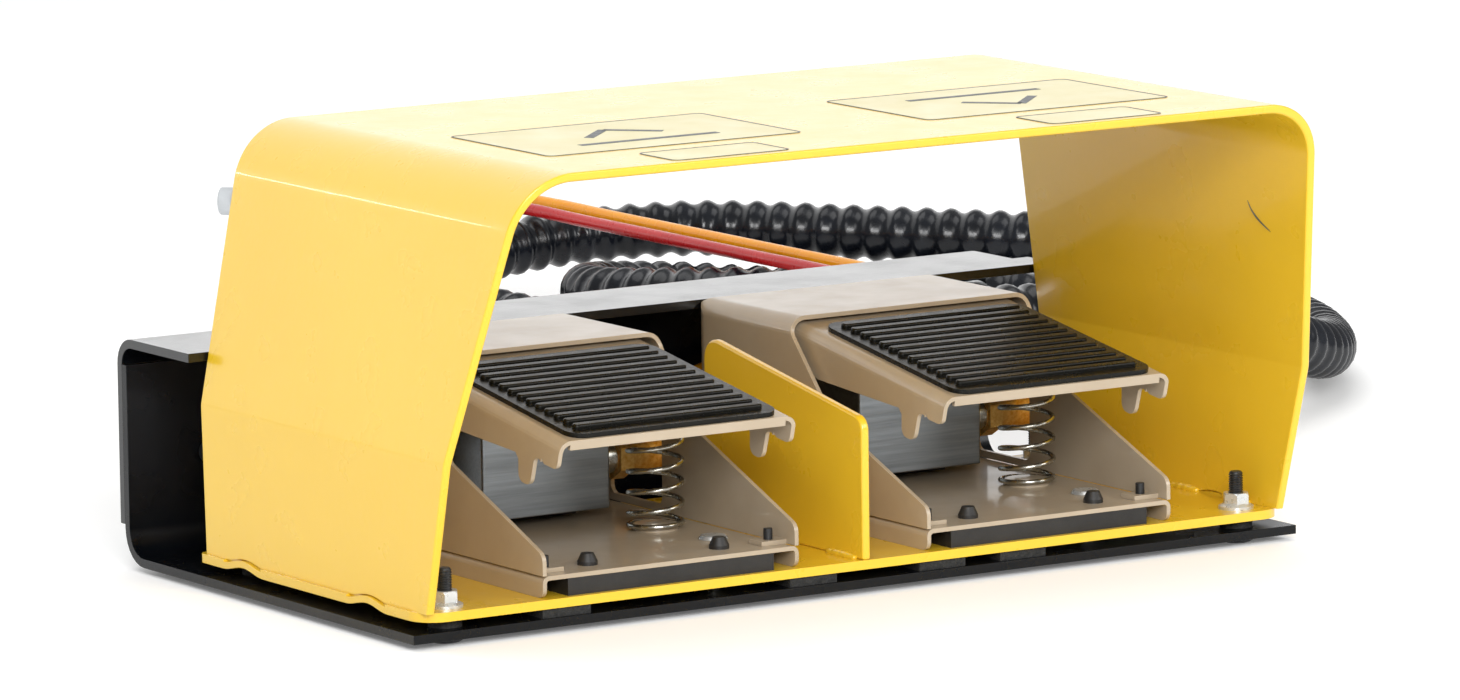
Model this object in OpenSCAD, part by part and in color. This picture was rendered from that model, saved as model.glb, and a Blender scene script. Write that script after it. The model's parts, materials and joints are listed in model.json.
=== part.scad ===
// Pneumatic twin foot switch: two foot valves side by side under a bent sheet guard,
// on a black base plate whose rear channel gathers the air tubes into one ribbed conduit.
// Millimetres, +Z up, front towards -Y. The origin is under the middle of the object without its conduit.

/* [Base plate and rear bracket] */
// how far the base plate stands out past the guard floor at each side
base_margin = 4; // [0.5:0.5:20]
// depth of the base plate to the rear face of its upstand
base_d = 186; // [180:1:230]
// thickness of the black sheet
plate_t = 3; // [2:0.5:4]
// outer bend radius at the rear of the base plate
base_bend_r = 12; // [6:1:16]
// height of the upstand over the base plate
upstand_h = 63.6; // [50:0.1:66]
// height of the bracket's flange over the base plate
bracket_h = 72.6; // [70:0.1:90]
// depth of the bracket's flange
flange_d = 48; // [30:1:50]
// outer bend radius of the bracket
bracket_bend_r = 9; // [5:1:14]
// space between the base plate and the lower edge of the bracket
bracket_gap = 10.1; // [4:0.1:20]
// length of the bracket that is cut away behind the right ear
ear_cut = 32; // [10:1:36]
// width of that ear
ear_w = 6.5; // [3:0.5:12]
// diameter of the bracket's screws
bracket_screw_d = 5; // [4:0.5:6]

/* [Guard] */
// thickness of the yellow sheet
guard_t = 3; // [2:0.5:4]
// width of the guard floor
floor_w = 335; // [325:1:400]
// depth of the guard floor
floor_d = 143.5; // [136:0.5:150]
// corner radius of the guard floor
floor_corner_r = 9; // [3:1:12]
// height of the pads between base plate and guard floor
pad_h = 3.1; // [1:0.1:4]
// outer height of the hood over the guard floor
hood_h = 142; // [125:1:170]
// depth of the hood at the guard floor
hood_d = 141; // [134:1:141]
// how far the foot of the hood stands in from the side edge of the guard floor
hood_inset = 1; // [0.5:0.5:3]
// how far the crease of the hood stands out past its foot
hood_bulge = 1; // [0:0.5:3]
// height of that crease over the guard floor
crease_h = 49.5; // [40:0.5:60]
// how far the hood's top corner, before the bend, stands in from the crease
hood_slope = 15; // [10:1:20]
// outer bend radius between the hood's walls and top
hood_bend_r = 22; // [12:1:35]
// how far the hood's top stands out in front of its foot
hood_overhang = 38.8; // [20:0.2:50]
// how far the rear edge of the hood leans forward
hood_rear_lean = 5; // [0:0.5:10]
// depth of the centre divider
divider_d = 95; // [60:1:120]
// height of the divider at the front
divider_front_h = 46.5; // [30:0.5:55]
// height of the divider at the rear
divider_rear_h = 63; // [56:0.5:80]

/* [Feet] */
// diameter of the bolt heads that are the feet
foot_d = 11.8; // [10:0.2:16]
// height of the bolt heads
foot_h = 2.2; // [2:0.1:6]
// diameter of the bolts
bolt_d = 5; // [4:0.5:6]
// distance from the outer foot of the hood to the bolts
bolt_inset = 12.5; // [11:0.5:14]
// distance from the front edge to the front bolts
bolt_front = 10; // [9:0.5:14]
// distance between front and rear bolts
bolt_span_y = 118; // [100:1:120]
// length of bolt over the guard floor
stud_h = 12.6; // [8:0.2:16]
// width across the flats of the nuts
nut_af = 8; // [7:0.5:10]
// height of the nuts
nut_h = 5.4; // [4.5:0.1:7]
// diameter of the flange of the nuts
nut_flange_d = 11.8; // [11.6:0.1:12.2]

/* [Foot valve] */
// distance between the middles of the two valves
valve_pitch = 147; // [143:1:150]
// distance from the front edge of the base plate to the valves
valve_setback = 2.5; // [2:0.5:4]
// outer width of a valve
valve_w = 97; // [94:1:100]
// depth of a valve
valve_d = 130; // [129:1:132]
// height of a valve
valve_h = 67.5; // [65:0.5:70]
// sheet thickness of tray, housing and pedal
sheet_t = 1.5; // [1.2:0.1:1.8]
// height of the tray
tray_h = 7.2; // [6:0.1:8]
// height of the cheeks at the front tip
tip_h = 14; // [12:0.5:16]
// distance of the knee in the cheeks' edge from the front
knee_y = 57; // [52:1:60]
// height of that knee
knee_h = 36.5; // [34:0.5:38]
// depth of the cover over the valve
cover_d = 49; // [48:1:50]
// edge radius of the housing
housing_r = 6; // [4:0.5:8]
// width of the valve block
block_w = 49; // [40:1:54]
// depth of the valve block
block_d = 36; // [34:1:36]
// height of the packing under the block
gasket_h = 4.5; // [2:0.5:5]
// height of the valve block over the tray
block_top = 41; // [38:0.5:41]
// diameter of the plunger
plunger_d = 7; // [5:0.5:9]
// diameter of the hinge pins
pin_d = 6; // [4:0.5:7]
// radial running clearance of plunger and hinge pins
run_gap = 0.05; // [0.02:0.01:0.1]

/* [Pedal] */
// slope of the pedal at rest
pedal_tilt = 9; // [8:0.5:9.5]
// length of the pedal plate
pedal_len = 92.5; // [88:0.5:94]
// height of the pedal's side flanges at the cover
flange_h = 11; // [9:0.5:12]
// space between pedal and housing at each side
pedal_side_gap = 2.3; // [1.5:0.1:3]
// outer bend radius of the pedal's long edges
pedal_bend_r = 4; // [2.5:0.5:5]
// width of the rubber pad
tread_w = 79; // [70:1:80]
// length of the rubber pad
tread_len = 81; // [70:1:82]
// number of cross ribs on the rubber pad
ribs = 13; // [9:1:15]
// outer diameter of the return spring
spring_d = 19.5; // [18:0.5:21]
// wire of the return spring
spring_wire = 1.7; // [1.2:0.1:2]
// turns of the return spring
spring_turns = 8.5; // [6:0.5:9]

/* [Tubes and conduit] */
// diameter of the air tubes
tube_d = 4.8; // [4:0.2:4.8]
// outer diameter of the ribbed conduit
conduit_d = 22; // [21:0.5:22]

/* [Hidden] */
$fn = 48;
eps = 0.01;
hole_gap = 0.2;
base_w = floor_w + 2 * base_margin;
hood_bottom_w = floor_w - 2 * hood_inset;
hood_crease_w = hood_bottom_w + 2 * hood_bulge;
hood_top_w = hood_crease_w - 2 * hood_slope;
foot_z = foot_h;
base_top = foot_z + plate_t;
floor_z = base_top + pad_h;
floor_top = floor_z + guard_t;
screw_head_h = 1.8;
bracket_rear = base_d + plate_t;
front_y = -(bracket_rear + screw_head_h - hood_overhang) / 2;
upstand_in = front_y + base_d - plate_t;
hood_front = front_y;
floor_front = front_y + 0.5;
valve_y = front_y + valve_setback;
bolt_x = hood_bottom_w / 2 - bolt_inset;
bolt_y = [front_y + bolt_front, front_y + bolt_front + bolt_span_y];

// valve levels and points, from the front of the tray and the top of the guard floor
mat_front = 0.3;
cover_front = valve_d - cover_d;
pivot = [cover_front + 21, valve_h - 21.5];
block_y = [cover_front - 5, cover_front - 5 + block_d];
block_z = [tray_h + gasket_h, tray_h + block_top];
plunger_y = cover_front + 3;
plunger_bore_z = block_z[1] - 16;
port_y = cover_front + 9;
port_z = tray_h + 18.5;
spring_pos = [28, 54];
pedal_w = valve_w - 2 * sheet_t - 2 * pedal_side_gap;
pedal_hook = [cover_front, valve_h - 3];
pedal_rear = 5;
pedal_front = pedal_rear - pedal_len;
pivot_s = (pivot[0] - pedal_hook[0]) * cos(pedal_tilt) + (pivot[1] - pedal_hook[1]) * sin(pedal_tilt);
pivot_h = (pivot[1] - pedal_hook[1]) * cos(pedal_tilt) - (pivot[0] - pedal_hook[0]) * sin(pedal_tilt);
tread_h = 1.6;
rib_h = 1.4;
pad_w = 18;
pad_d = 14;
floor_notch_y = [36, 115];
mat_w = valve_w - 19;
gasket_back = 20;
stub_h = 3.6;
nipple_x = 25;
nipple_y = [11, 118];
tab_screw_x = valve_w / 2 - 6;
tab_screw_y = [9, 118];
tray_screw_x = mat_w / 2 - 6;
tray_screws = [[tray_screw_x, 27], [-tray_screw_x, 100]];
pin_head = 1.5;
pin_in = valve_w / 2 - sheet_t - pedal_side_gap - sheet_t - 2;
outlet_z = tray_h + 18.8;
outlet_end = valve_d + 5.5;

// route of the conduit from the channel to its hank, and of its free end
conduit_route = [
    [110, 92, 57], [132, 92, 57], [152, 92, 57], [172, 92, 56], [220, 96, 52],
    [265, 106, 43], [307, 124, 32], [345, 150, 21], [376, 185, 15], [396, 220, 14], [407, 252, 14]
];
end_route = [
    [145, 418, 22], [148, 390, 21], [154, 360, 20], [160, 330, 20], [166, 300, 20], [171, 275, 20]
];
hank_near = [330, 287];
hank_far = [232, 417];
hank_fold = [258, 383];
hank_in = 67 - conduit_d / 2;
hank_out = 87 + conduit_d / 2;
hank_top = 2 * conduit_d + 0.4;
cuff_pos = [172, 270, 20];
cuff_turn = -78;
cuff_len = 18;

// routes of the tubes inside the rear channel
left_route = [
    [-73.5, 62, 37.3], [-73.5, 72, 37.5], [-69, 84, 39], [-58, 92, 41], [-40, 95.5, 44],
    [-10, 96, 48], [20, 96, 51], [50, 96, 53], [80, 96, 55.5], [97, 96, 57], [109.8, 96, 57]
];
right_route = [
    [73.5, 62, 37.3], [73.5, 72, 38], [77, 81, 43], [84, 87, 50], [95, 88.5, 56], [102, 88.5, 57],
    [109.8, 88.5, 57]
];

// routes of the tubes from the free end of the conduit to their fittings
orange_route = [
    [169.5, 272, 20], [172, 250, 21], [177, 231, 25], [187, 215, 31], [202, 208, 37.5],
    [216, 214, 42.5], [225, 232, 46], [228, 258, 47], [228, 320, 47], [228, 380, 47],
    [228, 440, 47], [227, 480, 47.5], [224, 510, 47.5], [217, 534, 46], [207, 553, 44],
    [194, 570, 42], [179, 586, 42]
];
red_route = [
    [175, 272, 20], [177.5, 254, 21], [182, 241, 25], [189, 231, 30], [199, 226, 36],
    [208, 231, 41.5], [212, 246, 45.5], [213, 268, 47], [213, 325, 47], [213, 380, 47],
    [213, 435, 47], [212, 475, 47.5], [208, 498, 47.5], [200, 516, 46.5], [189, 533, 45],
    [178, 548, 45]
];
tail_fitting_d = 14;
tail_fitting_len = 30;

// rounded corner of a path at point b
function unit(v) = v / norm(v);
function corner(a, b, c, r, n = 7) =
    let (u = unit(a - b), v = unit(c - b), half = acos(u * v) / 2)
    let (m = b + unit(u + v) * (r / sin(half)), reach = r / tan(half))
    let (p = b + u * reach - m, q = b + v * reach - m)
    let (a0 = atan2(p[1], p[0]), d0 = atan2(q[1], q[0]) - a0)
    let (d = d0 > 180 ? d0 - 360 : d0 < -180 ? d0 + 360 : d0)
    [for (i = [0 : n]) m + norm(p) * [cos(a0 + d * i / n), sin(a0 + d * i / n)]];

// open path with its inner points rounded, one radius to each point
function rounded(pts, rads) = [for (i = [0 : len(pts) - 1])
    each (i == 0 || i == len(pts) - 1 || rads[i] <= 0)
        ? [pts[i]] : corner(pts[i - 1], pts[i], pts[i + 1], rads[i])];

// closed path with all its points rounded
function loop(pts, rads) = [for (i = [0 : len(pts) - 1])
    each rads[i] <= 0 ? [pts[i]]
        : corner(pts[(i + len(pts) - 1) % len(pts)], pts[i], pts[(i + 1) % len(pts)], rads[i])];

// open path moved sideways, to the left where t is positive
function side(a, b) = let (d = unit(b - a)) [-d[1], d[0]];
function aside(pts, t) = let (e = len(pts) - 1) [for (i = [0 : e])
    let (n1 = side(pts[max(i - 1, 0)], pts[max(i, 1)]), n2 = side(pts[min(i, e - 1)], pts[min(i + 1, e)]))
    pts[i] + (n1 + n2) * t / (1 + n1 * n2)];
function back(list) = [for (i = [len(list) - 1 : -1 : 0]) list[i]];

// outline of a bent sheet along its outer path
function sheet(pts, rads, t) =
    concat(rounded(pts, rads), back(rounded(aside(pts, t), [for (r = rads) r - abs(t)])));

// rings of a tube along a route
function along(route, i) = unit(route[min(i + 1, len(route) - 1)] - route[max(i - 1, 0)]);
function ring(c, t, r, n) =
    let (s = unit(cross(t, [0, 0, 1])), w = cross(s, t))
    [for (k = [0 : n - 1]) c + r * (s * cos(360 * k / n) + w * sin(360 * k / n))];
function skin(rings, n) = concat(
    [[for (k = [0 : n - 1]) k]],
    [for (i = [0 : rings - 2]) for (k = [0 : n - 1])
        [i * n + k, (i + 1) * n + k, (i + 1) * n + (k + 1) % n, i * n + (k + 1) % n]],
    [[for (k = [n - 1 : -1 : 0]) (rings - 1) * n + k]]);

module tube(route, d, n) {
    polyhedron(
        [for (i = [0 : len(route) - 1]) each ring(route[i], along(route, i), d / 2, n)],
        skin(len(route), n)
    );
}

module along_x(x0, x1) {
    translate([x0, 0, 0])
        rotate([90, 0, 90])
            linear_extrude(x1 - x0)
                children();
}

module along_y(y0, y1) {
    translate([0, y1, 0])
        rotate([90, 0, 0])
            linear_extrude(y1 - y0)
                children();
}

module bar_x(x0, x1, r) {
    translate([x0, 0, 0])
        rotate([0, 90, 0])
            cylinder(h = x1 - x0, r = r);
}

module bar_y(y0, y1, r) {
    translate([0, y1, 0])
        rotate([90, 0, 0])
            cylinder(h = y1 - y0, r = r);
}

module at_valve(s) {
    translate([s * valve_pitch / 2, valve_y, floor_top])
        children();
}

module at_bolts() {
    for (x = [-bolt_x, bolt_x], y = bolt_y)
        translate([x, y, 0])
            children();
}

module at_tray_screws(z) {
    for (s = [-1, 1], p = tray_screws)
        translate([s * valve_pitch / 2 + p[0], valve_y + p[1], z])
            children();
}

module on_pedal() {
    translate([0, pedal_hook[0], pedal_hook[1]])
        rotate([pedal_tilt, 0, 0])
            children();
}

// frame of the object

bracket_screw_z = base_top + bracket_gap + 22;
bracket_screw_x = base_w * [-0.41, -0.145, 0.145, 0.345];
clip_inset = 19.5;
clip_pos = [base_w / 2 - clip_inset, 92, 57];
clip_w = 13;
clip_band = 1.2;
clip_screw_z = clip_pos[2] - conduit_d / 2 - 10;

module base_plate() {
    path = [
        [front_y, foot_z], [front_y + base_d, foot_z], [front_y + base_d, base_top + upstand_h]
    ];
    color("#141414")
        difference() {
            along_x(-base_w / 2, base_w / 2)
                polygon(sheet(path, [0, base_bend_r, 0], plate_t));
            at_bolts()
                translate([0, 0, foot_z - 1])
                    cylinder(h = plate_t + 2, d = bolt_d + 2 * hole_gap);
            at_tray_screws(foot_z - 1)
                cylinder(h = plate_t + 2, d = 7);
            for (x = bracket_screw_x)
                translate([x, 0, bracket_screw_z])
                    bar_y(upstand_in - 1, upstand_in + plate_t + 1, bracket_screw_d / 2 + hole_gap);
            translate([clip_pos[0], 0, clip_screw_z])
                bar_y(upstand_in - 1, upstand_in + plate_t + 1, 2 + hole_gap);
        }
}

module rear_bracket() {
    rear = front_y + bracket_rear;
    top = base_top + bracket_h;
    path = [[rear, base_top + bracket_gap], [rear, top], [rear - flange_d, top]];
    color("#161616")
        difference() {
            along_x(-base_w / 2, base_w / 2)
                polygon(sheet(path, [0, bracket_bend_r, 0], plate_t));
            translate([base_w / 2 - ear_w, rear - ear_cut, base_top])
                cube([ear_w + 1, ear_cut + 1, bracket_h + 1]);
            for (x = bracket_screw_x)
                translate([x, 0, bracket_screw_z])
                    bar_y(rear - plate_t - 1, rear + 1, bracket_screw_d / 2 + hole_gap);
            translate([clip_pos[0], 0, clip_screw_z])
                bar_y(rear - plate_t - 1, rear + 1, 2 + hole_gap);
        }
}

module bracket_screws() {
    rear = front_y + bracket_rear;
    color("#2a2a2c")
        for (x = bracket_screw_x)
            translate([x, 0, bracket_screw_z]) {
                bar_y(rear, rear + screw_head_h, bracket_screw_d * 0.9);
                bar_y(upstand_in - 5.5, rear + eps, bracket_screw_d / 2);
                difference() {
                    bar_y(upstand_in - 4, upstand_in, bracket_screw_d * 0.85);
                    bar_y(upstand_in - 5, upstand_in + 1, bracket_screw_d / 2 - eps);
                }
            }
}

module floor_pads() {
    front_x = floor_w * [-0.34, -0.06, 0.09, 0.185];
    rear_x = floor_w * [-0.33, 0, 0.33];
    color("#3c3c3c") {
        for (x = front_x)
            translate([x - pad_w / 2, floor_front + 1, base_top])
                cube([pad_w, pad_d, pad_h]);
        for (x = rear_x)
            translate([x - pad_w / 2, floor_front + floor_d - pad_d - 6, base_top])
                cube([pad_w, pad_d, pad_h]);
        difference() {
            at_bolts()
                translate([0, 0, base_top])
                    cylinder(h = pad_h, d = 11);
            at_bolts()
                translate([0, 0, base_top - 1])
                    cylinder(h = pad_h + 2, d = bolt_d + 2 * hole_gap);
        }
    }
}

module guard_floor() {
    w = floor_w / 2;
    notch = 1.5;
    color("#e2b32c")
        difference() {
            translate([0, 0, floor_z])
                linear_extrude(guard_t)
                    polygon(loop([
                        [-w, floor_front], [w, floor_front],
                        [w, floor_front + floor_d], [-w, floor_front + floor_d]
                    ], [floor_corner_r, floor_corner_r, 3, 3]));
            at_bolts()
                translate([0, 0, floor_z - 1])
                    cylinder(h = guard_t + 2, d = bolt_d + 2 * hole_gap);
            at_tray_screws(floor_z - 1)
                cylinder(h = guard_t + 2, d = 4 + 2 * hole_gap);
            for (s = [-1, 1], y = floor_notch_y)
                translate([s * (w + 1 - notch / 2), floor_front + y, floor_top])
                    cube([2 + notch, 24, 1.6], center = true);
        }
}

module guard_hood() {
    a = hood_bottom_w / 2;
    b = hood_crease_w / 2;
    c = hood_top_w / 2;
    path = [[-a, 0], [-b, crease_h], [-c, hood_h], [c, hood_h], [b, crease_h], [a, 0]];
    rads = [0, 9, hood_bend_r, hood_bend_r, 9, 0];
    color("#e8b92f")
        translate([0, 0, floor_top])
            intersection() {
                along_y(hood_front - hood_overhang - 5, hood_front + hood_d + 5)
                    polygon(sheet(path, rads, -guard_t));
                along_x(-base_w, base_w)
                    polygon([
                        [hood_front, 0], [hood_front + hood_d, 0], [hood_front + hood_d, crease_h],
                        [hood_front + hood_d - hood_rear_lean, hood_h], [hood_front - hood_overhang, hood_h]
                    ]);
            }
}

module centre_divider() {
    y0 = floor_front;
    y1 = floor_front + divider_d;
    color("#e4b52d")
        along_x(-guard_t / 2, guard_t / 2)
            polygon(loop([
                [y0, floor_top], [y1, floor_top],
                [y1, floor_top + divider_rear_h], [y0, floor_top + divider_front_h]
            ], [0, 0, 7, 5]));
}

module foot_bolts() {
    color("#1b1b1d")
        at_bolts() {
            cylinder(h = foot_h * 0.45, d1 = foot_d - 3, d2 = foot_d);
            translate([0, 0, foot_h * 0.45])
                cylinder(h = foot_h * 0.55, d = foot_d);
            translate([0, 0, foot_h - eps])
                cylinder(h = floor_top + stud_h - foot_h - 0.8 + eps, d = bolt_d);
            translate([0, 0, floor_top + stud_h - 0.8 - eps])
                cylinder(h = 0.8 + eps, d1 = bolt_d, d2 = bolt_d - 1.4);
        }
}

module flange_nuts() {
    color("#b9babb")
        at_bolts()
            translate([0, 0, floor_top])
                difference() {
                    union() {
                        cylinder(h = 1, d = nut_flange_d);
                        translate([0, 0, 1 - eps])
                            cylinder(h = 1, d1 = nut_flange_d, d2 = nut_af);
                        intersection() {
                            cylinder(h = nut_h, d = nut_af / cos(30), $fn = 6);
                            cylinder(h = nut_h, d1 = nut_af + 7, d2 = nut_af + 0.3);
                        }
                    }
                    translate([0, 0, -1])
                        cylinder(h = nut_h + 2, d = bolt_d + 2 * run_gap);
                }
}

// foot valve

module valve_tray() {
    w = valve_w / 2;
    path = [[-w, 0], [-w, tray_h], [w, tray_h], [w, 0]];
    color("#b39f80")
        difference() {
            union() {
                intersection() {
                    along_y(0, valve_d - 2)
                        polygon(sheet(path, [0, 2.5, 2.5, 0], -sheet_t));
                    along_x(-valve_w, valve_w)
                        polygon(loop([[0, 0], [valve_d - 2, 0], [valve_d - 2, tray_h], [0, tray_h]],
                            [3, 3, 0, 0]));
                }
                translate([spring_pos[0], spring_pos[1], tray_h - eps])
                    cylinder(h = 2, r = spring_d / 2 - spring_wire - 0.6);
            }
            for (x = [-nipple_x, nipple_x], y = nipple_y)
                translate([x, y, 0])
                    cylinder(h = tray_h + 1, d = 4.8);
            for (x = [-tab_screw_x, tab_screw_x], y = tab_screw_y)
                translate([x, y, 0])
                    cylinder(h = tray_h + 1, d = 3 + 2 * hole_gap);
            for (p = tray_screws)
                translate([p[0], p[1], 0])
                    cylinder(h = tray_h + 1, d = 4 + 2 * hole_gap);
        }
}

module valve_mat() {
    h = tray_h - sheet_t;
    color("#17181a")
        difference() {
            union() {
                translate([-mat_w / 2, mat_front, 0])
                    cube([mat_w, valve_d - 6, h]);
                for (x = [-nipple_x, nipple_x], y = nipple_y)
                    translate([x, y, h - eps]) {
                        cylinder(h = sheet_t + 2 * eps, d = 4.6);
                        translate([0, 0, sheet_t + eps])
                            cylinder(h = 1.2, d = 6.6);
                        translate([0, 0, sheet_t + 1.2])
                            cylinder(h = 2.6, d1 = 6.6, d2 = 4.2);
                    }
            }
            for (p = tray_screws)
                translate([p[0], p[1], -1])
                    cylinder(h = tray_h, d = 4 + 2 * hole_gap);
        }
}

module valve_tray_screws() {
    color("#8f8a80")
        for (p = tray_screws)
            translate([p[0], p[1], 0]) {
                translate([0, 0, tray_h])
                    cylinder(h = 1.4, d1 = 10, d2 = 8.4);
                translate([0, 0, -guard_t - pad_h])
                    cylinder(h = tray_h + guard_t + pad_h + eps, d = 4);
                translate([0, 0, -guard_t - pad_h])
                    cylinder(h = pad_h, d = 6.4);
            }
}

// solid of the housing, shrunk by t and let down by drop
module housing_block(t, r, drop) {
    w = valve_w / 2 - t;
    front = -10 - drop;
    rear = valve_d - t;
    low = tray_h - drop;
    top = valve_h - t;
    intersection() {
        along_y(front, rear)
            polygon(loop([[-w, low], [w, low], [w, top], [-w, top]], [0, 0, r, r]));
        along_x(-w, w)
            polygon(loop([[front, low], [rear, low], [rear, top], [front, top]], [0, 0, r, 0]));
        translate([0, 0, low])
            linear_extrude(top - low)
                polygon(loop([[-w, front], [w, front], [w, rear], [-w, rear]], [0, 0, r, r]));
    }
}

module valve_housing() {
    w = valve_w / 2;
    rear_x = w - housing_r - 2;
    edge = rounded([
        [0, tray_h - 1], [0, tip_h], [knee_y, knee_h], [cover_front, valve_h - 5], [cover_front, valve_h + 5]
    ], [0, 4, 12, 6, 0]);
    color("#c3ae8c") {
        difference() {
            housing_block(0, housing_r, 0);
            housing_block(sheet_t, housing_r - sheet_t, 1);
            along_x(-valve_w, valve_w)
                polygon(concat(edge, [[-20, valve_h + 5], [-20, tray_h - 1]]));
            along_x(-valve_w, valve_w)
                polygon(loop([[cover_front - 1, tray_h + 2.5], [valve_d - 18, tray_h + 2.5],
                    [valve_d - 18, tray_h + 27], [cover_front - 1, tray_h + 27]], [3, 3, 3, 3]));
            along_y(valve_d - 6, valve_d + 1)
                polygon(loop([
                    [-rear_x, tray_h + 3], [rear_x, tray_h + 3], [rear_x, valve_h - 14], [-rear_x, valve_h - 14]
                ], [4, 4, 4, 4]));
            translate([0, pivot[0], pivot[1]])
                bar_x(-valve_w, valve_w, pin_d / 2);
        }
        for (s = [-1, 1], y = tab_screw_y)
            difference() {
                translate([s * (w - 6), y, tray_h + sheet_t / 2])
                    cube([10, 8, sheet_t], center = true);
                translate([s * tab_screw_x, y, tray_h - 1])
                    cylinder(h = sheet_t + 2, d = 3 + 2 * hole_gap);
            }
    }
}

module valve_housing_screws() {
    color("#1d1d1f")
        for (x = [-tab_screw_x, tab_screw_x], y = tab_screw_y)
            translate([x, y, 0]) {
                translate([0, 0, tray_h - sheet_t - 1.6])
                    cylinder(h = 1.6, d = 4.8);
                translate([0, 0, tray_h - sheet_t - eps])
                    cylinder(h = 2 * sheet_t + stub_h, d = 3);
            }
}

module valve_gasket() {
    color("#1a1a1a")
        translate([-block_w / 2 + 1, block_y[0] + gasket_back, tray_h])
            cube([block_w - 2, block_d - gasket_back - 1, gasket_h]);
}

module valve_block() {
    w = block_w / 2;
    color("#b4b6b8")
        difference() {
            translate([0, 0, block_z[0]])
                linear_extrude(block_z[1] - block_z[0])
                    polygon(loop([[-w, block_y[0]], [w, block_y[0]], [w, block_y[1]], [-w, block_y[1]]],
                        [1, 1, 1, 1]));
            translate([0, plunger_y, plunger_bore_z])
                cylinder(h = 40, d = plunger_d + 2 * run_gap);
            translate([0, port_y, port_z])
                bar_x(w - 7, w + 1, 4);
            translate([0, 0, outlet_z])
                bar_y(block_y[1] - 7, block_y[1] + 1, 4);
        }
}

module valve_silencer() {
    w = block_w / 2;
    color("#a9842f")
        translate([0, port_y, port_z]) {
            bar_x(w - 6.5, w + 0.1, 4);
            bar_x(w, w + 9, 5);
            translate([w + 9 - eps, 0, 0])
                rotate([0, 90, 0])
                    cylinder(h = 5, d = 13 / cos(30), $fn = 6);
            bar_x(w + 14 - eps, w + 29, 5.5);
            translate([w + 29 - eps, 0, 0])
                rotate([0, 90, 0])
                    cylinder(h = 2, r1 = 5.5, r2 = 4);
        }
}

module valve_outlet_fitting() {
    color("#6d6f72")
        translate([0, 0, outlet_z]) {
            bar_y(block_y[1] - 6.5, block_y[1] + 0.1, 4);
            translate([0, block_y[1] + 5, 0])
                rotate([90, 0, 0])
                    cylinder(h = 5, d = 12 / cos(30), $fn = 6);
            bar_y(block_y[1] + 5 - eps, outlet_end - 2.5, 5.6);
            bar_y(outlet_end - 2.5 - eps, outlet_end, 4.4);
        }
}

module valve_hinge_pins() {
    w = valve_w / 2;
    color("#a5a7a9")
        for (s = [-1, 1])
            translate([0, pivot[0], pivot[1]])
                rotate([0, 0, s > 0 ? 0 : 180]) {
                    bar_x(pin_in, w + eps, pin_d / 2);
                    bar_x(w, w + pin_head, pin_d / 2 + 1.2);
                }
}

module valve_pedal() {
    w = pedal_w / 2;
    deep = 40;
    path = [[-w, -deep], [-w, 0], [w, 0], [w, -deep]];
    toe = pedal_front;
    silhouette = [
        [toe, 1], [pedal_rear, 1], [pedal_rear, -5],
        [pivot_s + 5, pivot_h + 4.5], [pivot_s - 6, pivot_h - 3], [-3, -flange_h - 1],
        [-14, 0.5 - flange_h], [toe + 26, -6.4], [toe + 24, -8], [toe + 23, -15], [toe + 16, -15],
        [toe + 14.5, -5], [toe + 11, -4.5], [toe + 9.5, -8.4], [toe + 1, -8.4], [toe, -3]
    ];
    soft = [0, 0, 3, 0, 0, 6, 0, 0, 0, 3.2, 3.2, 2, 1, 2.6, 2.6, 1];
    color("#cbb796")
        on_pedal() {
            difference() {
                intersection() {
                    along_y(toe, pivot_s + 8)
                        polygon(sheet(path, [0, pedal_bend_r, pedal_bend_r, 0], -sheet_t));
                    along_x(-valve_w, valve_w)
                        union() {
                            polygon(loop(silhouette, soft));
                            translate([pivot_s, pivot_h])
                                circle(r = 7);
                        }
                }
                translate([0, pivot_s, pivot_h])
                    bar_x(-valve_w, valve_w, pin_d / 2 + run_gap);
            }
            translate([-w + pedal_bend_r, toe, -3.2])
                cube([pedal_w - 2 * pedal_bend_r, sheet_t, 2.4]);
        }
}

module valve_pedal_pad() {
    w = tread_w / 2;
    front = pedal_front + 1;
    rear = front + tread_len;
    step = (tread_len - 7) / ribs;
    rib_x = w - 4;
    rib_y = step * 0.28;
    rib_r = rib_y * 0.9;
    color("#191919")
        on_pedal() {
            linear_extrude(tread_h)
                polygon(loop([[-w, front], [w, front], [w, rear], [-w, rear]], [6, 6, 6, 6]));
            for (i = [0 : ribs - 1])
                translate([0, rear - 3.5 - step * (i + 0.5), tread_h / 2])
                    linear_extrude(tread_h / 2 + rib_h)
                        polygon(loop([[-rib_x, -rib_y], [rib_x, -rib_y], [rib_x, rib_y], [-rib_x, rib_y]],
                            [rib_r, rib_r, rib_r, rib_r]));
        }
}

module valve_plunger() {
    drop = (plunger_y - pedal_hook[0]) * tan(pedal_tilt) - sheet_t / cos(pedal_tilt);
    top = pedal_hook[1] + drop - plunger_d / 2 * tan(pedal_tilt) - 0.3;
    color("#c7c8ca")
        translate([0, plunger_y, 0]) {
            translate([0, 0, plunger_bore_z + 5])
                cylinder(h = top - plunger_bore_z - 6.5, d = plunger_d);
            translate([0, 0, top - 1.5 - eps])
                cylinder(h = 1.5 + eps, d1 = plunger_d, d2 = plunger_d - 3);
        }
}

// return spring, its end turns closed
spring_low = tray_h + spring_wire / 2 + 0.1;
spring_high = pedal_hook[1] - (cover_front - spring_pos[1]) * tan(pedal_tilt)
    - sheet_t / cos(pedal_tilt) - spring_d / 2 * tan(pedal_tilt) - spring_wire / 2 - 0.1;
spring_step = 15;
function spring_rise(a) =
    let (e = spring_wire, m = spring_turns - 2, rise = spring_high - spring_low - 2 * e)
    a < 1 ? e * a : a > spring_turns - 1 ? e + rise + e * (a - spring_turns + 1) : e + rise * (a - 1) / m;

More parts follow.
